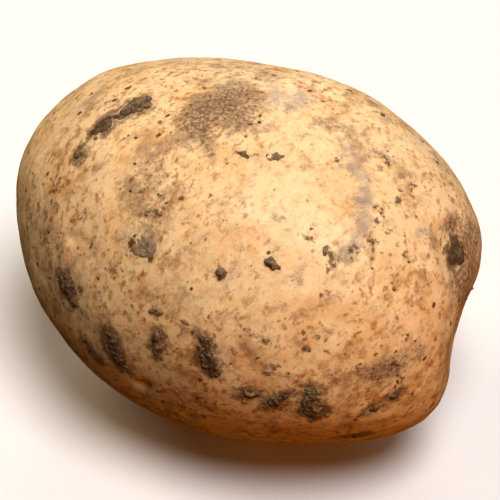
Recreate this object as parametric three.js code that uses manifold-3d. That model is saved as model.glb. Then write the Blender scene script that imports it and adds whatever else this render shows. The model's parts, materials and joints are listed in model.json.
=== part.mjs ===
// A freshly dug ware potato lying on its side, with crusts of dried garden soil stuck to its skin.
// Millimetres, +Z up. +X points to the rose end, where the eyes crowd together, and -X to the heel,
// where the tuber hung on its stolon. The origin is the bottom centre of the bounding box.
import * as THREE from "three";
import { mergeVertices } from "three/addons/utils/BufferGeometryUtils.js";
import Module from "manifold-3d";

// Driving dimensions of the plain ovoid under the swells and hollows.
const LENGTH = 86;
const WIDTH = 66;
const HEIGHT = 62;
const REST_TRIM = 0.7; // how far the underside is pressed flat where the tuber lies
const SKIN_DETAIL = 15; // each edge of the icosahedron is split into one more part than this
const SOIL_GAP = 0.35; // clearance between a crust and the skin under it
const LARGE_CRUST = 3; // a crust longer than this is cut more finely
const LARGE_LUMPS = 0.14; // how far a crust's three large lumps bulge, as a share of its size
const SMALL_LUMPS = 0.08; // and its five small ones
const EYE_SPREAD = 8; // degrees that a common eye's pit spreads from its middle
const BROW_SHIFT = 10; // degrees from an eye's pit to its brow, the scar of a scale leaf

const HALF = new THREE.Vector3(LENGTH / 2, WIDTH / 2, HEIGHT / 2);

// Directions from the middle of the tuber: bearing turns from +X towards +Y, height rises to +Z.
function direction(bearing, height) {
  const turn = THREE.MathUtils.degToRad(bearing);
  const rise = THREE.MathUtils.degToRad(height);
  return new THREE.Vector3(
    Math.cos(rise) * Math.cos(turn),
    Math.cos(rise) * Math.sin(turn),
    Math.sin(rise),
  );
}

// Broad swells (rise above 0) and hollows (below 0), in millimetres, each fading out over its spread.
const SWELLS = [
  { bearing: 184, height: 30, rise: 2.4, spread: 36 }, // full shoulder at the heel
  { bearing: -155, height: 18, rise: 0.9, spread: 18 },
  { bearing: 48, height: 22, rise: 1.9, spread: 26 }, // upper lobe of the rose end
  { bearing: 84, height: 48, rise: 1.1, spread: 20 },
  { bearing: 126, height: 52, rise: -0.5, spread: 20 },
  { bearing: -4, height: -30, rise: 2.6, spread: 20 }, // lower lobe of the rose end
  { bearing: -42, height: -36, rise: -0.8, spread: 20 },
  { bearing: 16, height: -8, rise: -4.6, spread: 17 }, // hollow between the two lobes
  { bearing: 10, height: 12, rise: -0.9, spread: 9 }, // furrow from the hollow up to the big eye
  { bearing: -120, height: -20, rise: 1.1, spread: 34 }, // belly
];

// Eyes: a shallow pit with a low brow on its heel side. The first is the big one beside the hollow.
const EYES = [
  { bearing: 14, height: 27, depth: 1.9 },
  { bearing: 50, height: -12, depth: 1.3 },
  { bearing: 24, height: -52, depth: 1.1 },
  { bearing: 72, height: 14, depth: 1.3 },
  { bearing: 100, height: -30, depth: 1.1 },
  { bearing: 128, height: 12, depth: 1.0 },
  { bearing: 168, height: -28, depth: 0.9 },
  { bearing: -128, height: -52, depth: 0.9 },
  { bearing: 180, height: -2, depth: 1.4 }, // the dimple where the stolon was joined
];

// The direction a few degrees nearer to the heel than the given one.
function towardsHeel(from, degrees) {
  const heel = new THREE.Vector3(-1, 0, 0);
  const axis = from.clone().cross(heel).normalize();
  return from.clone().applyAxisAngle(axis, THREE.MathUtils.degToRad(degrees));
}

const FEATURES = SWELLS.map((swell) => ({ ...swell, centre: direction(swell.bearing, swell.height) }));
for (const eye of EYES) {
  const pit = direction(eye.bearing, eye.height);
  FEATURES.push({ centre: pit, rise: -eye.depth, spread: EYE_SPREAD });
  FEATURES.push({ centre: towardsHeel(pit, BROW_SHIFT), rise: eye.depth / 4, spread: EYE_SPREAD / 2 });
}

function riseAt(n) {
  let rise = 0;
  for (const feature of FEATURES) {
    const away = n.angleTo(feature.centre) / THREE.MathUtils.degToRad(feature.spread);
    rise += feature.rise * Math.exp(-away * away);
  }
  return rise;
}

// The skin's point in a direction, raised a little along the surface's normal.
function skinPoint(n, lift = 0) {
  const outward = n.clone().divide(HALF).normalize();
  return n.clone().multiply(HALF).addScaledVector(outward, riseAt(n) + lift);
}

async function makeSolidTools() {
  const wasm = await Module();
  wasm.setup();

  function toSolid(geometry) {
    const bare = geometry.clone();
    bare.deleteAttribute("normal");
    bare.deleteAttribute("uv");
    const merged = mergeVertices(bare);
    const mesh = new wasm.Mesh({
      numProp: 3,
      vertProperties: new Float32Array(merged.attributes.position.array),
      triVerts: new Uint32Array(merged.index.array),
    });
    return new wasm.Manifold(mesh);
  }

  function toGeometry(solid) {
    const mesh = solid.getMesh();
    const geometry = new THREE.BufferGeometry();
    geometry.setAttribute("position", new THREE.BufferAttribute(mesh.vertProperties, 3));
    geometry.setIndex(new THREE.BufferAttribute(mesh.triVerts, 1));
    geometry.computeVertexNormals();
    return geometry;
  }

  return { toSolid, toGeometry };
}

// The whole tuber, cut level where its own weight rests it.
async function tuberGeometry() {
  const geometry = new THREE.IcosahedronGeometry(1, SKIN_DETAIL);
  const places = geometry.attributes.position;
  for (let i = 0; i < places.count; i++) {
    const n = new THREE.Vector3().fromBufferAttribute(places, i).normalize();
    const p = skinPoint(n);
    places.setXYZ(i, p.x, p.y, p.z);
  }
  geometry.computeBoundingBox();
  const level = geometry.boundingBox.min.z + REST_TRIM;
  const ground = new THREE.BoxGeometry(2 * LENGTH, 2 * WIDTH, HEIGHT);
  ground.translate(0, 0, level - HEIGHT / 2);
  const { toSolid, toGeometry } = await makeSolidTools();
  return toGeometry(toSolid(geometry).subtract(toSolid(ground)));
}

// Crusts of dried soil, in millimetres: long and wide along the skin, thick above it. Turn is the
// angle in degrees of the long side from the direction of rising bearing.
const CRUSTS = [
  { name: "soil_in_big_eye", bearing: 16, height: 25, long: 5, wide: 4.4, thick: 1.3, turn: -38 },
  { name: "soil_above_big_eye", bearing: 24, height: 31, long: 5, wide: 2.4, thick: 0.5, turn: -25 },
  { name: "soil_shoulder_upper", bearing: -149, height: 61, long: 8, wide: 3.2, thick: 0.9, turn: -60 },
  { name: "soil_shoulder_lower", bearing: -142, height: 52, long: 5, wide: 2.8, thick: 1.0, turn: -62 },
  { name: "soil_shoulder_crumb", bearing: -134, height: 43, long: 2.2, wide: 1.9, thick: 0.9, turn: 50 },
  { name: "soil_crown_left", bearing: -64, height: 72, long: 4.4, wide: 2, thick: 0.5, turn: -14 },
  { name: "soil_crown_right", bearing: -41, height: 72, long: 3.6, wide: 1.7, thick: 0.5, turn: 13 },
  { name: "soil_front_flat", bearing: -92, height: 35, long: 5.6, wide: 4.4, thick: 0.6, turn: 10 },
  { name: "soil_front_crumb", bearing: -68, height: 36, long: 1.9, wide: 1.7, thick: 1.1, turn: 0 },
  { name: "soil_middle_crumb", bearing: -53, height: 41, long: 3, wide: 2.1, thick: 1.1, turn: -27 },
  { name: "soil_grey_crumb", bearing: -84, height: 19, long: 2.7, wide: 1.5, thick: 0.7, turn: 21 },
  { name: "soil_belly_drop", bearing: -83, height: 9, long: 5.6, wide: 1.9, thick: 0.6, turn: 86 },
  { name: "soil_belly_streak", bearing: -70, height: 9, long: 8.4, wide: 3, thick: 0.7, turn: -71 },
  { name: "soil_belly_dark", bearing: -94, height: -2, long: 9.2, wide: 3.4, thick: 0.8, turn: -66 },
  { name: "soil_heel_side_clod", bearing: -110, height: 9, long: 5.8, wide: 3.2, thick: 1.0, turn: -27 },
  { name: "soil_heel_streak", bearing: -102, height: -8, long: 5.4, wide: 2.2, thick: 0.7, turn: -47 },
  { name: "soil_ridge_left", bearing: -60, height: -2, long: 3.6, wide: 1.9, thick: 0.6, turn: 16 },
  { name: "soil_ridge_right", bearing: -54, height: -3, long: 6.2, wide: 1.8, thick: 0.9, turn: 39 },
  { name: "soil_low_clod", bearing: -45, height: -4, long: 8.4, wide: 4, thick: 1.0, turn: -83 },
  { name: "soil_low_streak", bearing: -31, height: -26, long: 4, wide: 2.2, thick: 0.7, turn: 23 },
  { name: "soil_rose_crumb", bearing: -23, height: -5, long: 2.2, wide: 1.5, thick: 0.6, turn: 2 },
  { name: "soil_rose_streak", bearing: -28, height: -9, long: 3.6, wide: 1.4, thick: 0.5, turn: 7 },
  { name: "soil_back_smear", bearing: 82, height: 30, long: 8.5, wide: 3.6, thick: 0.7, turn: 24 },
  { name: "soil_back_clod", bearing: 118, height: -12, long: 6, wide: 4.4, thick: 1.1, turn: -35 },
  { name: "soil_back_crumb", bearing: 97, height: 6, long: 2.4, wide: 2, thick: 1.0, turn: 0 },
  { name: "soil_back_shoulder", bearing: 122, height: 30, long: 3.4, wide: 2.4, thick: 0.7, turn: 40 },
  { name: "soil_heel_scar", bearing: 176, height: 10, long: 4.6, wide: 3, thick: 1.0, turn: 15 },
  { name: "soil_heel_low", bearing: -158, height: -30, long: 7, wide: 3, thick: 0.8, turn: -20 },
  { name: "soil_rose_under", bearing: 40, height: -36, long: 5, wide: 3.4, thick: 0.9, turn: 55 },
];

// How far a crust's outline bulges out or in at an angle around it, as a share of its size. Each
// crust's own place sets where its three large and five small lumps fall.
function lumps(around, crust) {
  const large = LARGE_LUMPS * Math.sin(3 * around + crust.bearing);
  const small = SMALL_LUMPS * Math.sin(5 * around + crust.height);
  return large + small;
}

// A crust: flat where it sticks to the skin and domed outside.
function crustGeometry(crust) {
  const detail = crust.long > LARGE_CRUST ? 2 : 1;
  const geometry = new THREE.IcosahedronGeometry(1, detail);
  const places = geometry.attributes.position;
  const middle = direction(crust.bearing, crust.height);
  const east = new THREE.Vector3(0, 0, 1).cross(middle).normalize();
  const north = middle.clone().cross(east);
  const turn = THREE.MathUtils.degToRad(crust.turn);
  const eastScale = east.clone().multiply(HALF).length();
  const northScale = north.clone().multiply(HALF).length();
  for (let i = 0; i < places.count; i++) {
    const v = new THREE.Vector3().fromBufferAttribute(places, i).normalize();
    const around = Math.atan2(v.y, v.x);
    const bulge = 1 + lumps(around, crust);
    const along = (v.x * bulge * crust.long) / 2;
    const across = (v.y * bulge * crust.wide) / 2;
    const eastward = along * Math.cos(turn) - across * Math.sin(turn);
    const northward = along * Math.sin(turn) + across * Math.cos(turn);
    const n = middle.clone();
    n.addScaledVector(east, eastward / eastScale);
    n.addScaledVector(north, northward / northScale);
    const p = skinPoint(n.normalize(), SOIL_GAP + crust.thick * Math.max(0, v.z));
    places.setXYZ(i, p.x, p.y, p.z);
  }
  return geometry;
}

const skin = new THREE.MeshStandardMaterial({ color: 0xd9a866, roughness: 0.6, metalness: 0 });
const driedSoil = new THREE.MeshStandardMaterial({ color: 0x4c4238, roughness: 0.95, metalness: 0 });

const potato = new THREE.Group();
const tuber = new THREE.Mesh(await tuberGeometry(), skin);
tuber.name = "tuber";
potato.add(tuber);
for (const crust of CRUSTS) {
  const piece = new THREE.Mesh(crustGeometry(crust), driedSoil);
  piece.name = crust.name;
  potato.add(piece);
}

// Stand the tuber on the ground with the middle of its box over the origin.
const box = new THREE.Box3().setFromObject(potato);
const centre = box.getCenter(new THREE.Vector3());
potato.position.set(-centre.x, -centre.y, -box.min.z);

export default potato;
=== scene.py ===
import json
import math

import bpy
import numpy as np
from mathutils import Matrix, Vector
from mathutils.bvhtree import BVHTree

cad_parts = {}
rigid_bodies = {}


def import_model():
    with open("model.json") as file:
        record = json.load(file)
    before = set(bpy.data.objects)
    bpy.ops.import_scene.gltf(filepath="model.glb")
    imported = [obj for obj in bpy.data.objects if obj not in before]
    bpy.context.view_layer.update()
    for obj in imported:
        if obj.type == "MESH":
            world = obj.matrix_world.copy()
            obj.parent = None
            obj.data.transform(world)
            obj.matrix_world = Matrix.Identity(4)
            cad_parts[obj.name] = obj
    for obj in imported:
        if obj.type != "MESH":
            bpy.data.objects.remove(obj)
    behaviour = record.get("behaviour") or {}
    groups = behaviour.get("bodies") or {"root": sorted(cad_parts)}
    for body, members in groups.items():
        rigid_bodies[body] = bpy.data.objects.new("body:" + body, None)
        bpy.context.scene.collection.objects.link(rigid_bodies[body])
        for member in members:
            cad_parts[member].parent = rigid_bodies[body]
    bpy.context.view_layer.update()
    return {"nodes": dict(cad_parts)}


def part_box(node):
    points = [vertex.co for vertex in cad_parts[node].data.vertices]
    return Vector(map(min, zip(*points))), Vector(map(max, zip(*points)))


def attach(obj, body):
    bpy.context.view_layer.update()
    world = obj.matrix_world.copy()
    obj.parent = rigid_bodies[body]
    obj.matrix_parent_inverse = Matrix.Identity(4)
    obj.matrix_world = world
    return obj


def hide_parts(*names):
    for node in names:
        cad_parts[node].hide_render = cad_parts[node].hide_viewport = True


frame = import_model()

# --- The tuber ---------------------------------------------------------------------------------
# One swollen underground stem, oval and a little lumpy, with a thin tight skin over the flesh. It
# is a ball of quads drawn onto the frame's solid, smoothed, then given the slow heaves and the
# small dents that growing between stones leaves.
MM = 0.001
HEAVES = ((13, 0.9), (5, 0.26), (1.8, 0.1))  # size and height of each kind of unevenness, in mm
SMOOTHINGS = 30  # rounds of smoothing that take the frame's facets away
low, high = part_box("tuber")
middle = (low + high) / 2
half = (high - low) / 2


def deselect():
    bpy.ops.object.select_all(action="DESELECT")


def pick(piece):
    deselect()
    piece.select_set(True)
    bpy.context.view_layer.objects.active = piece


def apply_modifier(piece, kind, **settings):
    modifier = piece.modifiers.new(kind.lower(), kind)
    for name, value in settings.items():
        setattr(modifier, name, value)
    pick(piece)
    bpy.ops.object.modifier_apply(modifier=modifier.name)


def merged_copy(node, name):
    """A copy of a CAD node whose loose triangles are joined, to shape without touching the node."""
    copy = frame["nodes"][node].copy()
    copy.data = copy.data.copy()
    copy.name = name
    copy.parent = None
    for key in list(copy.keys()):
        del copy[key]
    copy.data.materials.clear()
    bpy.context.scene.collection.objects.link(copy)
    pick(copy)
    bpy.ops.object.mode_set(mode="EDIT")
    bpy.ops.mesh.select_all(action="SELECT")
    bpy.ops.mesh.remove_doubles(threshold=0.001 * MM)
    bpy.ops.object.mode_set(mode="OBJECT")
    return copy


def places(piece):
    """The piece's vertices as an array, three numbers a row."""
    flat = np.empty(len(piece.data.vertices) * 3, np.float32)
    piece.data.vertices.foreach_get("co", flat)
    return flat.reshape(-1, 3).astype(float)


def put(piece, co):
    piece.data.vertices.foreach_set("co", co.astype(np.float32).ravel())
    piece.data.update()


def noise_texture(name, size, depth=2):
    """A cloud texture whose lumps are about that size."""
    texture = bpy.data.textures.new(name, "CLOUDS")
    texture.noise_scale = size
    texture.noise_depth = depth
    return texture


deselect()
bpy.ops.mesh.primitive_cube_add(size=2, location=(0, 0, 0))
potato = bpy.context.object
potato.name = "potato"
bpy.ops.object.mode_set(mode="EDIT")
bpy.ops.mesh.select_all(action="SELECT")
bpy.ops.mesh.subdivide(number_cuts=15)
bpy.ops.mesh.subdivide(number_cuts=7)
bpy.ops.transform.tosphere(value=1)
bpy.ops.object.mode_set(mode="OBJECT")
ball = places(potato)
ball /= np.linalg.norm(ball, axis=1)[:, None]
put(potato, ball * np.array(half) + np.array(middle))

solid = merged_copy("tuber", "solid_of_tuber")
apply_modifier(potato, "SHRINKWRAP", target=solid, wrap_method="PROJECT",
               use_negative_direction=True, use_positive_direction=True)
apply_modifier(potato, "SMOOTH", factor=0.5, iterations=SMOOTHINGS)

for size, height in HEAVES:
    apply_modifier(potato, "DISPLACE", texture=noise_texture("heave", size * MM),
                   texture_coords="LOCAL", strength=height * MM, mid_level=0.5)

# --- The eyes ----------------------------------------------------------------------------------
# Each eye is a resting bud in a shallow pit, under the scar of a scale leaf that reads as a curved
# brow on its heel side. They sit in the pits of the frame's solid and crowd to the rose end.
core = middle + Vector((1.0, 0.2, -0.4)) * MM  # the middle of the plain ovoid under the lumps
ovoid = Vector((43, 33, 31)) * MM  # and its half sizes
EYES = (  # bearing, height, size, share of the brow
    (14, 27, 1.0, 0.3), (50, -12, 0.9, 1), (24, -52, 0.8, 1), (72, 14, 0.9, 1),
    (100, -30, 0.8, 1), (128, 12, 0.8, 1), (168, -28, 0.7, 1), (-128, -52, 0.7, 1),
)
BUD, SIDE_BUD = 0.7, 0.35  # heights in mm, for an eye of size 1
BROW, CREASE = 0.36, -0.5
BROW_AT, CREASE_AT = 5.6, 4.2  # mm from the middle of the eye
EYE_REACH = 8  # mm
tree = BVHTree.FromObject(potato, bpy.context.evaluated_depsgraph_get())


def heading(bearing, height):
    """The outward direction at a bearing, turning from +X to +Y, and a height above level."""
    turn, rise = math.radians(bearing), math.radians(height)
    level = math.cos(rise)
    return Vector((level * math.cos(turn), level * math.sin(turn), math.sin(rise)))


def spot(bearing, height):
    """The place and the outward normal of the skin there, and its east and north along the skin."""
    n = heading(bearing, height)
    ray = Vector((n.x * ovoid.x, n.y * ovoid.y, n.z * ovoid.z)).normalized()
    place, normal, _, _ = tree.ray_cast(core + ray * 0.1, -ray)
    east = Vector((0, 0, 1)).cross(normal).normalized()
    return place, normal, east, normal.cross(east)


def bell(distance, width):
    return np.exp(-((distance / width) ** 2))


co = places(potato)
in_creases = np.zeros(len(co))
for bearing, height, size, brow_share in EYES:
    place, normal, _, _ = spot(bearing, height)
    heel = Vector((-1, 0, 0))
    heel = (heel - normal * heel.dot(normal)).normalized()
    side = normal.cross(heel)
    away = co - np.array(place)
    u = away @ np.array(heel) / (size * MM)
    v = away @ np.array(side) / (size * MM)
    r = np.hypot(u, v)
    this_side = np.abs(away @ np.array(normal)) < EYE_REACH * MM
    facing = np.clip(u / np.maximum(r, 1e-6), 0, 1) ** 1.5 * this_side
    bud = BUD * bell(np.hypot(u - 0.6, v), 1.3) + SIDE_BUD * bell(np.hypot(u + 0.8, v - 1.4), 0.9)
    crease = CREASE * brow_share * bell(r - CREASE_AT, 0.7) * facing
    brow = BROW * brow_share * bell(r - BROW_AT, 1.1) * facing
    co += np.outer((bud * (r < EYE_REACH) + crease + brow) * size * MM, np.array(normal))
    in_creases = np.maximum(in_creases, brow_share * bell(r - 4.0, 0.9) * facing)
co[:, 2] = np.maximum(co[:, 2], low.z)
put(potato, co)
pick(potato)
bpy.ops.object.shade_smooth()

# --- What the soil left on the skin ------------------------------------------------------------
# Damp soil dries on the skin as a thin film, thickest in patches where a clod was pulled off, and
# as specks and streaks where it was rubbed. How much of it lies there is painted on the skin's
# points. A mark is: bearing, height, length and width in mm, turn of its length, strength.


def row(start, end, count, length, width, turn, strength):
    """Marks from one bearing and height to another, sizes in mm and turn in degrees."""
    bearings = np.linspace(start[0], end[0], count)
    heights = np.linspace(start[1], end[1], count)
    return [(b, h, length, width, turn, strength) for b, h in zip(bearings, heights)]


FILM = (
    row((-120, 75), (-95, 85), 2, 10, 8, -45, 0.8)  # the crown's broad patch
    + [(-175, 82, 12, 8, -70, 0.75), (-92, 71, 7, 3, 0, 0.7), (115, 84, 4, 8, 20, 0.6)]
    + row((200, 50), (110, 70), 5, 7, 5, 0, 0.55)  # smears behind it
    + row((-110, 58), (-95, 40), 4, 11, 5, 70, 0.45)  # down the heel half
    + row((-130, 22), (-95, 0), 4, 11, 10, 10, 0.45)
    + row((-90, 55), (-80, 25), 4, 7, 4, 50, 0.35)
    + row((33, 68), (25, 57), 2, 10, 3, 85, 0.65)  # the rubbed streak and band
    + row((0, 60), (-30, 42), 3, 3, 8, -20, 0.35)
    + [(45, 36, 5, 7, 85, 0.5)]
    + row((20, 31), (10, 18), 3, 6, 4, -25, 0.7)  # round the big eye
    # The film down the big eye's furrow is soil, and also painted shade darkening that hollow.
    + row((27, 22), (13, 11), 3, 9, 7, -38, 0.75)  # and down its furrow, partly painted shade
    + row((-15, 9), (-41, 6), 4, 7, 4, 10, 0.5)  # over the lower lobe
    + [(-26, 5, 7, 5, 0, 0.7)]
    + row((85, 30), (180, 5), 5, 12, 9, 20, 0.5)  # the far side and the underside
    + row((-80, -45), (-160, -35), 3, 16, 9, 0, 0.5)
    + row((20, -45), (90, -50), 3, 14, 9, 30, 0.5)
)
GREY = (
    row((87, 79), (67, 75), 2, 4, 8, 50, 0.9)  # a pale grey bloom beside the crown's patch
    + row((15, 66), (-28, 42), 8, 3, 7, -22, 0.5)  # the long rubbed band
    + row((5, 39), (-17, 33), 2, 4, 2, -35, 0.45)
    + [(-118, 29, 2, 10, -45, 0.5)]
    + row((110, 20), (190, 30), 3, 3, 11, 20, 0.5)  # the far side
)
SCUFFS = (  # where a stone or a nail rubbed the soil off in a line
    row((-83, 50), (-65, 36), 4, 8, 1, 50, 0.8)
    + row((-87, 38), (-72, 27), 2, 6, 1, 60, 0.7)
    + row((-110, 36), (-6, 16), 2, 5, 1.2, 70, 0.8)
    + row((110, 0), (160, 40), 2, 10, 1, 10, 0.7)
)
SPECK_FIELDS = (  # middle bearing and height, how far each way, how many
    (-122, 25, 18, 12, 9),
    (-112, 52, 25, 10, 8),
    (-55, 25, 22, 22, 16),
    (-22, 42, 18, 9, 16),
    (5, 55, 25, 12, 9),
    (-18, 12, 15, 20, 12),
)
SPECK_LENGTHS, SPECK_WIDTHS, SPECK_STRENGTHS = (1, 3.5), (0.8, 1.8), (0.5, 0.9)
specks_draw = np.random.default_rng(3)
SPECKS = []
for bearing, height, turn_reach, rise_reach, count in SPECK_FIELDS:
    for _ in range(count):
        SPECKS.append((bearing + turn_reach * specks_draw.uniform(-1, 1),
                       height + rise_reach * specks_draw.uniform(-1, 1),
                       specks_draw.uniform(*SPECK_LENGTHS), specks_draw.uniform(*SPECK_WIDTHS),
                       specks_draw.uniform(-90, 90), specks_draw.uniform(*SPECK_STRENGTHS)))
# A paler patch with less soil and fewer specks: rubbed clean, and partly a painted highlight.
CLEAN_AND_HIGHLIGHT = ((-30, 55, 30, 24, 0, 1.0), (-50, 55, 24, 18, 0, 0.8), (-45, 30, 24, 10, 0, 0.4))
tree = BVHTree.FromObject(potato, bpy.context.evaluated_depsgraph_get())


def smooth(edge0, edge1, x):
    t = np.clip((x - edge0) / (edge1 - edge0), 0, 1)
    return t * t * (3 - 2 * t)


MARK_DEPTH = 12  # mm, so that a mark doesn't come out on the other side of the tuber


def painted(marks, soft=0.5):
    """How much of a mark lies on each point of the skin, from 0 to 1."""
    left = np.ones(len(co))
    for bearing, height, length, width, turn, strength in marks:
        place, normal, east, north = spot(bearing, height)
        turned = math.radians(turn)
        along = east * math.cos(turned) + north * math.sin(turned)
        across = normal.cross(along)
        away = co - np.array(place)
        u = away @ np.array(along) / (length / 2 * MM)
        v = away @ np.array(across) / (width / 2 * MM)
        depth = away @ np.array(normal) / (MARK_DEPTH * MM)
        r = np.sqrt(u * u + v * v + depth * depth)
        left *= 1 - strength * smooth(1 + soft, 1 - soft, r)
    return 1 - left


def paint(piece, name, values):
    layer = piece.data.attributes.new(name, "FLOAT", "POINT")
    layer.data.foreach_set("value", values.astype(np.float32))


SOIL_NODES = sorted(name for name in frame["nodes"] if name.startswith("soil_"))
DRIED_CLEAN = ("soil_above_big_eye", "soil_crown_left", "soil_crown_right", "soil_front_crumb",
               "soil_front_flat", "soil_grey_crumb", "soil_middle_crumb")  # no stain round these
RIM_REACH, RIM_FULL = 2.4 * MM, 0.3 * MM  # how near a crust its stain begins, and is full
near = np.full(len(co), 1.0)
for node in (name for name in SOIL_NODES if name not in DRIED_CLEAN):
    clod = np.array([v.co for v in frame["nodes"][node].data.vertices])
    box_low, box_high = clod.min(0), clod.max(0)
    close = np.all((co > box_low - 4 * MM) & (co < box_high + 4 * MM), axis=1)
    gap = np.linalg.norm(co[close][:, None] - clod[None], axis=2).min(1)
    near[close] = np.minimum(near[close], gap)
IN_CREASES = 0.8  # how thick the film lies in the eyes' creases
film_paint = np.maximum(painted(FILM, soft=0.8), IN_CREASES * in_creases)
speck_paint = painted(SPECKS)
rim_paint = smooth(RIM_REACH, RIM_FULL, near)
paint(potato, "film", film_paint)
paint(potato, "grey", painted(GREY, soft=0.9))
paint(potato, "specks", speck_paint)
paint(potato, "clean_and_highlight", painted(CLEAN_AND_HIGHLIGHT, soft=0.8))
paint(potato, "scuffs", painted(SCUFFS))
paint(potato, "rim", rim_paint)

# --- Potato skin -------------------------------------------------------------------------------
# Cork skin of a yellow ware potato: thin, dry and finely netted, cream to ochre, with a broad dull
# sheen. Light goes a little way into the starchy flesh and comes out orange. Over it lie rubbed-in
# soil, which is dead matt, and a scatter of small dark specks.


def linear(colour):
    """The linear RGBA of an sRGB hex colour."""
    parts = [int(colour[i:i + 2], 16) / 255 for i in (1, 3, 5)]
    return tuple(p / 12.92 if p <= 0.04045 else ((p + 0.055) / 1.055) ** 2.4 for p in parts) + (1,)


def add(tree, kind, sockets=None, **settings):
    """Adds a node with its settings. A socket takes a value, or the node or output linked to it."""
    node = tree.nodes.new(kind)
    for name, value in settings.items():
        setattr(node, name, value)
    for name, value in (sockets or {}).items():
        socket = node.inputs[name]
        if isinstance(name, str):
            socket = next(s for s in node.inputs if s.name == name and not s.is_unavailable)
        if isinstance(value, bpy.types.Node):
            value = next(o for o in value.outputs if not o.is_unavailable)
        if isinstance(value, bpy.types.NodeSocket):
            tree.links.new(value, socket)
        else:
            socket.default_value = value
    return node


def new_material(name):
    material = bpy.data.materials.new(name)
    material.use_nodes = True
    material.node_tree.nodes.clear()
    return material


def per_mm(size):
    """A texture scale, for Object coordinates in metres, that gives features of that many mm."""
    return 1 / (size * MM)


skin = new_material("potato_cork_skin")
t = skin.node_tree
coords = add(t, "ShaderNodeTexCoord").outputs["Object"]
RUBBED_ALONG = Vector((0.22, 0.78, 0.59))  # the way that the soil was wiped over the skin
turn_to_x = RUBBED_ALONG.rotation_difference(Vector((1, 0, 0))).to_euler()
turned = add(t, "ShaderNodeMapping", {"Vector": coords, "Rotation": turn_to_x})
rubbed = add(t, "ShaderNodeMapping", {"Vector": turned, "Scale": (0.8, 1, 1)})
on_skin = {}
for name in ("film", "grey", "specks", "clean_and_highlight", "rim", "scuffs"):
    on_skin[name] = add(t, "ShaderNodeAttribute", attribute_name=name).outputs["Fac"]

PATTERNS = {  # way it runs, size in mm, detail, roughness
    "broad": (coords, 26, 2, 0.5),
    "blotch": (coords, 8, 4, 0.6),
    "haze": (rubbed, 6, 5, 0.65),
    "dirt": (coords, 13, 3, 0.6),
    "mottle": (rubbed, 1.7, 5, 0.65),
    "flecks": (rubbed, 1.0, 2, 0.5),
    "grain": (coords, 0.6, 3, 0.6),
    "tear": (rubbed, 1.2, 5, 0.75),
    "fray": (coords, 0.9, 3, 0.6),
    "crumble": (rubbed, 3.0, 7, 0.8),
}
pattern = {}
for name, (vector, size, detail, roughness) in PATTERNS.items():
    pattern[name] = add(t, "ShaderNodeTexNoise", {"Vector": vector, "Scale": per_mm(size),
                                                  "Detail": detail, "Roughness": roughness})

# The clean patch thins the soil and specks: partly a painted highlight, paler under the key light.
rubbed_clean_and_highlight = add(t, "ShaderNodeMath", {0: on_skin["clean_and_highlight"], 1: -0.55, 2: 1.0},
                   operation="MULTIPLY_ADD")
soiled = add(t, "ShaderNodeMapRange", {"Value": pattern["dirt"], "From Min": 0.32, "From Max": 0.6,
                                       "To Min": 0.25, "To Max": 1.0})
soiled = add(t, "ShaderNodeMath", {0: soiled, 1: rubbed_clean_and_highlight}, operation="MULTIPLY")

# Small dark specks: one to each cell of the size, of which some are kept, ragged and uneven.
SPECKLES = ((3.2, 0.45, 0.30), (1.5, 0.6, 0.36))  # cell in mm, share kept, widest reach
WOBBLE = 1.6 * MM
wobbled = add(t, "ShaderNodeVectorMath",
              {0: pattern["tear"].outputs["Color"], 1: (WOBBLE,) * 3, 2: rubbed},
              operation="MULTIPLY_ADD")
dots = []
for cell, kept, widest in SPECKLES:
    cells = add(t, "ShaderNodeTexVoronoi", {"Vector": wobbled, "Scale": per_mm(cell)})
    chances = add(t, "ShaderNodeSeparateColor", {"Color": cells.outputs["Color"]})
    reach = add(t, "ShaderNodeMapRange", {"Value": chances.outputs["Red"], "From Min": 1 - kept,
                                          "To Max": widest})
    inside = add(t, "ShaderNodeMath", {0: reach, 1: cells.outputs["Distance"]},
                 operation="SUBTRACT")
    dots.append(add(t, "ShaderNodeMapRange", {"Value": inside, "From Min": -0.06,
                                              "From Max": 0.16, "To Max": chances.outputs["Green"]},
                    interpolation_type="SMOOTHSTEP"))
dots = add(t, "ShaderNodeMath", {0: dots[0], 1: dots[1]}, operation="MAXIMUM")

LAYERS = (  # what is added, by which pattern and how far it tears, from, to, how much, colour
    ("ochre", 0.0, "blotch", 1.0, 0.45, 0.65, 0.4, "#e4b473"),
    ("pale", 0.0, "mottle", -1.0, -0.48, -0.26, 0.5, "#f9e6c8"),
    ("haze", 0.0, "haze", 1.0, 0.5, 0.7, soiled, "#c69b66"),
    ("russet", 0.0, "mottle", 1.0, 0.49, 0.7, soiled, "#b67c38"),
    ("flecks", 0.0, "flecks", 1.0, 0.55, 0.75, soiled, "#a0692c"),
    ("film", on_skin["film"], "crumble", 3.0, 1.55, 2.5, 0.75, "#a78a6e"),
    ("film_dark", on_skin["film"], "grain", 2.4, 1.7, 2.4, 0.75, "#5f4836"),
    ("grey", on_skin["grey"], "crumble", 4.0, 2.0, 3.1, 0.7, "#aea39a"),
    ("scuffs", on_skin["scuffs"], "tear", 1.6, 0.9, 1.7, 0.7, "#f0d6b4"),
    ("dots", dots, "tear", 0.6, 0.5, 1.1, rubbed_clean_and_highlight, "#7a5029"),
    ("rim", on_skin["rim"], "crumble", 4.0, 2.4, 3.2, 0.75, "#6e4c2e"),
    ("spots", on_skin["specks"], "fray", 3.0, 1.95, 2.6, 0.8, "#5c412a"),
)
colour = add(t, "ShaderNodeMix", {"Factor": pattern["broad"], "A": linear("#f7e0ba"),
                                  "B": linear("#f5d9ae")}, data_type="RGBA")
cover = {}
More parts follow.
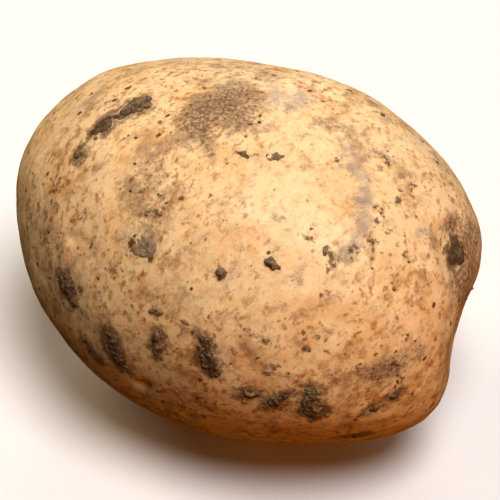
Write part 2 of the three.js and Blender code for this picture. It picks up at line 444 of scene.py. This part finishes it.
for name, amount, torn_by, tear, start, end, top, hex_colour in LAYERS:
    level = add(t, "ShaderNodeMath", {0: pattern[torn_by], 1: tear, 2: amount},
                operation="MULTIPLY_ADD")
    cover[name] = add(t, "ShaderNodeMapRange", {"Value": level, "From Min": start,
                                                "From Max": end, "To Max": top},
                      interpolation_type="SMOOTHSTEP")
    colour = add(t, "ShaderNodeMix", {"Factor": cover[name], "A": colour,
                                      "B": linear(hex_colour)}, data_type="RGBA")
matt = cover["film"]
for name in ("dots", "rim", "spots"):
    matt = add(t, "ShaderNodeMath", {0: matt, 1: cover[name]}, operation="MAXIMUM")
roughness = add(t, "ShaderNodeMapRange", {"Value": matt, "To Min": 0.46, "To Max": 0.9})
relief = add(t, "ShaderNodeMath", {0: matt, 1: 0.8, 2: pattern["grain"]}, operation="MULTIPLY_ADD")
bump = add(t, "ShaderNodeBump", {"Height": relief, "Strength": 0.5, "Distance": 0.15 * MM})
shader = add(t, "ShaderNodeBsdfPrincipled",
             {"Base Color": colour, "Roughness": roughness, "Normal": bump, "IOR": 1.45,
              "Subsurface Weight": 0.3, "Subsurface Radius": (4 * MM, 1.6 * MM, 0.5 * MM),
              "Subsurface Scale": 1.0})
add(t, "ShaderNodeOutputMaterial", {"Surface": shader})
potato.data.materials.append(skin)
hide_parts("tuber")
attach(potato, "root")

# --- The soil crusts ---------------------------------------------------------------------------
# Crusts and crumbs of dried loam, a few millimetres across and about half a millimetre thick,
# stuck to the skin where they dried, thin ones paler because they dried through. Each is the
# frame's lump, broken up into grains and pressed home until its higher parts stand out.
soil = new_material("dried_garden_loam")
t = soil.node_tree
coords = add(t, "ShaderNodeTexCoord").outputs["Object"]
lumps = add(t, "ShaderNodeTexNoise", {"Vector": coords, "Scale": per_mm(1.4), "Detail": 5,
                                      "Roughness": 0.7})
grit = add(t, "ShaderNodeTexNoise", {"Vector": coords, "Scale": per_mm(0.35), "Detail": 3,
                                     "Roughness": 0.7})
dryness = add(t, "ShaderNodeAttribute", attribute_name="dryness").outputs["Fac"]
damp = add(t, "ShaderNodeMix", {"Factor": grit, "A": linear("#453422"), "B": linear("#7d6246")},
           data_type="RGBA")
dry = add(t, "ShaderNodeMix", {"Factor": grit, "A": linear("#87735b"), "B": linear("#b3a086")},
          data_type="RGBA")
drier = add(t, "ShaderNodeMath", {0: lumps, 1: 3.0, 2: dryness}, operation="MULTIPLY_ADD")
drier = add(t, "ShaderNodeMapRange", {"Value": drier, "From Min": 1.4, "From Max": 2.3},
            interpolation_type="SMOOTHSTEP")
colour = add(t, "ShaderNodeMix", {"Factor": drier, "A": damp, "B": dry}, data_type="RGBA")
bump = add(t, "ShaderNodeBump", {"Height": grit, "Strength": 0.8, "Distance": 0.2 * MM})
shader = add(t, "ShaderNodeBsdfPrincipled", {"Base Color": colour, "Roughness": 0.9,
                                             "Normal": bump})
add(t, "ShaderNodeOutputMaterial", {"Surface": shader})


def drop_loose_bits(piece):
    """Keeps the lump that holds the middle vertex, and deletes any bit that is not joined to it."""
    pick(piece)
    bpy.ops.object.mode_set(mode="EDIT")
    bpy.ops.mesh.select_all(action="DESELECT")
    bpy.ops.object.mode_set(mode="OBJECT")
    piece.data.vertices[len(piece.data.vertices) // 2].select = True
    bpy.ops.object.mode_set(mode="EDIT")
    bpy.ops.mesh.select_linked()
    bpy.ops.mesh.select_all(action="INVERT")
    bpy.ops.mesh.delete(type="VERT")
    bpy.ops.object.mode_set(mode="OBJECT")


def on_the_skin(points):
    """For each point, the nearest place on the skin, the normal there and the height above it."""
    found = [tree.find_nearest(Vector(p))[:2] for p in points]
    feet = np.array([place for place, _ in found])
    ups = np.array([normal for _, normal in found])
    return feet, ups, ((points - feet) * ups).sum(1)


CLOD_SHARE, SMEAR_SHARE = 0.85, 0.7  # how much of the frame's thickness stands up
CAKED = ("soil_front_flat", "soil_above_big_eye", "soil_in_big_eye")  # dried in one smooth piece
DRYNESS = {"soil_front_flat": 0.9, "soil_above_big_eye": 0.8, "soil_crown_left": 0.2,
           "soil_crown_right": 0.4, "soil_grey_crumb": 1.0, "soil_shoulder_crumb": 0.4,
           "soil_back_smear": 0.5, "soil_back_shoulder": 0.6, "soil_low_clod": 0.4,
           "soil_middle_crumb": 0.4, "soil_front_crumb": 0.3, "soil_shoulder_upper": 0.35,
           "soil_shoulder_lower": 0.1, "soil_belly_dark": 0.1, "soil_ridge_left": 0.2,
           "soil_ridge_right": 0.2, "soil_belly_drop": 0.2}
PRESSED_IN = 0.5 * MM
VOXEL = 0.17 * MM
TORN, CAKED_TORN, CRUMBLY = 1.3 * MM, 0.7 * MM, 0.5 * MM  # how far the faces are moved
torn_edge = noise_texture("torn_edge", 1.2 * MM, 3)
torn_edge.cloud_type = "COLOR"
crumbly = noise_texture("crumbly", 0.7 * MM, 3)
for node in SOIL_NODES:
    crust = merged_copy(node, node.replace("soil_", "crust_"))
    apply_modifier(crust, "REMESH", mode="VOXEL", voxel_size=VOXEL)
    drop_loose_bits(crust)
    apply_modifier(crust, "DISPLACE", texture=torn_edge, texture_coords="LOCAL",
                   direction="RGB_TO_XYZ", strength=CAKED_TORN if node in CAKED else TORN,
                   mid_level=0.5)
    is_clod = node.endswith(("clod", "crumb", "in_big_eye", "upper", "lower"))
    share = CLOD_SHARE if is_clod else SMEAR_SHARE
    feet, ups, above = on_the_skin(places(crust))
    put(crust, feet + ups * (above * share - PRESSED_IN)[:, None])
    apply_modifier(crust, "DISPLACE", texture=crumbly, texture_coords="LOCAL",
                   strength=CRUMBLY, mid_level=0.5)
    paint(crust, "dryness", np.full(len(feet), DRYNESS.get(node, 0.0)))
    pick(crust)
    bpy.ops.object.shade_smooth()
    crust.data.materials.append(soil)
    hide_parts(node)
    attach(crust, "root")

# --- Loose grains ------------------------------------------------------------------------------
# Single grains and crumbs of the same loam, a quarter to one millimetre across, caught where the
# skin is already soiled. One crumb is shaped once, and every grain is a turned copy of it.
GRAINS = 200
SMALLEST, SIZE_RANGE = 0.11 * MM, 0.28 * MM  # half sizes, most of them near the smallest
SUNK = 0.1  # of its half size
FREE_OF_GRAINS = 3 * MM  # up from the floor
draw = np.random.default_rng(7)
chance = 0.006 + 2.5 * rim_paint + 1.2 * film_paint + 5 * speck_paint
chance[co[:, 2] < low.z + FREE_OF_GRAINS] = 0
seats = draw.choice(len(co), GRAINS, replace=False, p=chance / chance.sum())
deselect()
bpy.ops.mesh.primitive_cube_add(size=2)
crumb = bpy.context.object
bpy.ops.object.mode_set(mode="EDIT")
bpy.ops.mesh.subdivide(number_cuts=1)
bpy.ops.transform.tosphere(value=1)
bpy.ops.object.mode_set(mode="OBJECT")
shape = places(crumb)
shape /= np.linalg.norm(shape, axis=1)[:, None]
faces = np.array([list(p.vertices) for p in crumb.data.polygons])
bpy.data.objects.remove(crumb)
corners, quads = [], []
for number, seat in enumerate(seats):
    _, normal, _, _ = tree.find_nearest(Vector(co[seat]))
    size = SMALLEST + SIZE_RANGE * draw.random() ** 3
    stretch = 0.7 + 0.6 * draw.random(3)
    turn = np.linalg.qr(draw.normal(size=(3, 3)))[0]
    turn *= np.sign(np.linalg.det(turn))
    lump = shape * (1 + 0.25 * np.sin(shape @ draw.normal(size=(3, 1)) * 3 + draw.random() * 6))
    corners.append((lump * stretch) @ turn * size + co[seat] - np.array(normal) * size * SUNK)
    quads.append(faces + number * len(shape))
grain_mesh = bpy.data.meshes.new("soil_grains")
grain_mesh.from_pydata(np.concatenate(corners).tolist(), [], np.concatenate(quads).tolist())
grains = bpy.data.objects.new("soil_grains", grain_mesh)
bpy.context.scene.collection.objects.link(grains)
pick(grains)
bpy.ops.object.shade_smooth()
paint(grains, "dryness", np.repeat(0.2 + 0.6 * draw.random(GRAINS), len(shape)))
grains.data.materials.append(soil)
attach(grains, "root")

bpy.data.objects.remove(solid)

# --- The studio --------------------------------------------------------------------------------
# A plain pale floor, a large soft light overhead and to the right with two weak fills, and the
# camera that looks down on the tuber from the front right.
deselect()
bpy.ops.mesh.primitive_plane_add(size=4, location=(0, 0, low.z))
floor = bpy.context.object
floor.name = "floor"
paper = new_material("pale_paper_floor")
t = paper.node_tree
shader = add(t, "ShaderNodeBsdfPrincipled", {"Base Color": linear("#eceef5"), "Roughness": 0.9})
add(t, "ShaderNodeOutputMaterial", {"Surface": shader})
floor.data.materials.append(paper)
floor.visible_diffuse = False  # the tuber is lit as on dark ground, with no bounce from the paper
floor.visible_glossy = False
floor.visible_shadow = False

AZIMUTH, ELEVATION = math.radians(37), math.radians(40)
DISTANCE, FOCAL_LENGTH = 0.45, 186
SOFTNESS = math.radians(31)
GLOW, WALL = (1.4, 0.54, 0.06, 1), (1.3, 1.28, 1.24, 1)
back = Vector((math.sin(AZIMUTH) * math.cos(ELEVATION), -math.cos(AZIMUTH) * math.cos(ELEVATION),
               math.sin(ELEVATION)))
lens = bpy.data.cameras.new("camera")
lens.lens = FOCAL_LENGTH
lens.clip_start = 0.01
camera = bpy.data.objects.new("camera", lens)
bpy.context.scene.collection.objects.link(camera)
camera.location = core + back * DISTANCE
camera.rotation_euler = back.to_track_quat("Z", "Y").to_euler()
bpy.context.scene.camera = camera


def soft_light(name, towards, strength, colour):
    """A broad light from a direction, as soft as a box half a metre wide at arm's length."""
    light = bpy.data.lights.new(name, "SUN")
    light.angle = SOFTNESS
    light.energy = strength
    light.color = linear(colour)[:3]
    lamp = bpy.data.objects.new(name, light)
    bpy.context.scene.collection.objects.link(lamp)
    lamp.rotation_euler = Vector(towards).to_track_quat("Z", "Y").to_euler()


soft_light("key", (0.32, -0.14, 0.93), 2.95, "#fffaf4")
soft_light("heel_fill", (-0.75, -0.05, 0.66), 0.9, "#ffe2b8")
soft_light("back_fill", (-0.45, 0.85, 0.4), 0.9, "#fff0dc")

# The room is dim: grey above, warm brown below, with a warm glow low on the rose side. Only the
# camera sees the pale wall.
world = bpy.data.worlds.new("studio")
bpy.context.scene.world = world
world.use_nodes = True
w = world.node_tree
w.nodes.clear()
way = add(w, "ShaderNodeTexCoord").outputs["Generated"]
up = add(w, "ShaderNodeSeparateXYZ", {"Vector": way}).outputs["Z"]
rise = add(w, "ShaderNodeMapRange", {"Value": up, "From Min": -0.2, "From Max": 0.7})
dim = add(w, "ShaderNodeMix", {"Factor": rise, "A": linear("#1c0c02"), "B": linear("#7a7264")},
          data_type="RGBA")
GLOW_FROM = Vector((0.93, -0.3, -0.2)).normalized()
facing = add(w, "ShaderNodeVectorMath", {0: way, 1: GLOW_FROM}, operation="DOT_PRODUCT")
glow = add(w, "ShaderNodeMapRange", {"Value": facing.outputs["Value"], "From Min": 0.45},
           interpolation_type="SMOOTHSTEP")
lit = add(w, "ShaderNodeMix", {"Factor": glow, "A": dim, "B": GLOW}, data_type="RGBA")
by_camera = add(w, "ShaderNodeLightPath").outputs["Is Camera Ray"]
wall = add(w, "ShaderNodeMix", {"Factor": by_camera, "A": lit, "B": WALL}, data_type="RGBA")
room = add(w, "ShaderNodeBackground", {"Color": wall, "Strength": 0.6})
add(w, "ShaderNodeOutputWorld", {"Surface": room})
bpy.context.scene.view_settings.view_transform = "Standard"
bpy.context.scene.view_settings.gamma = 0.8
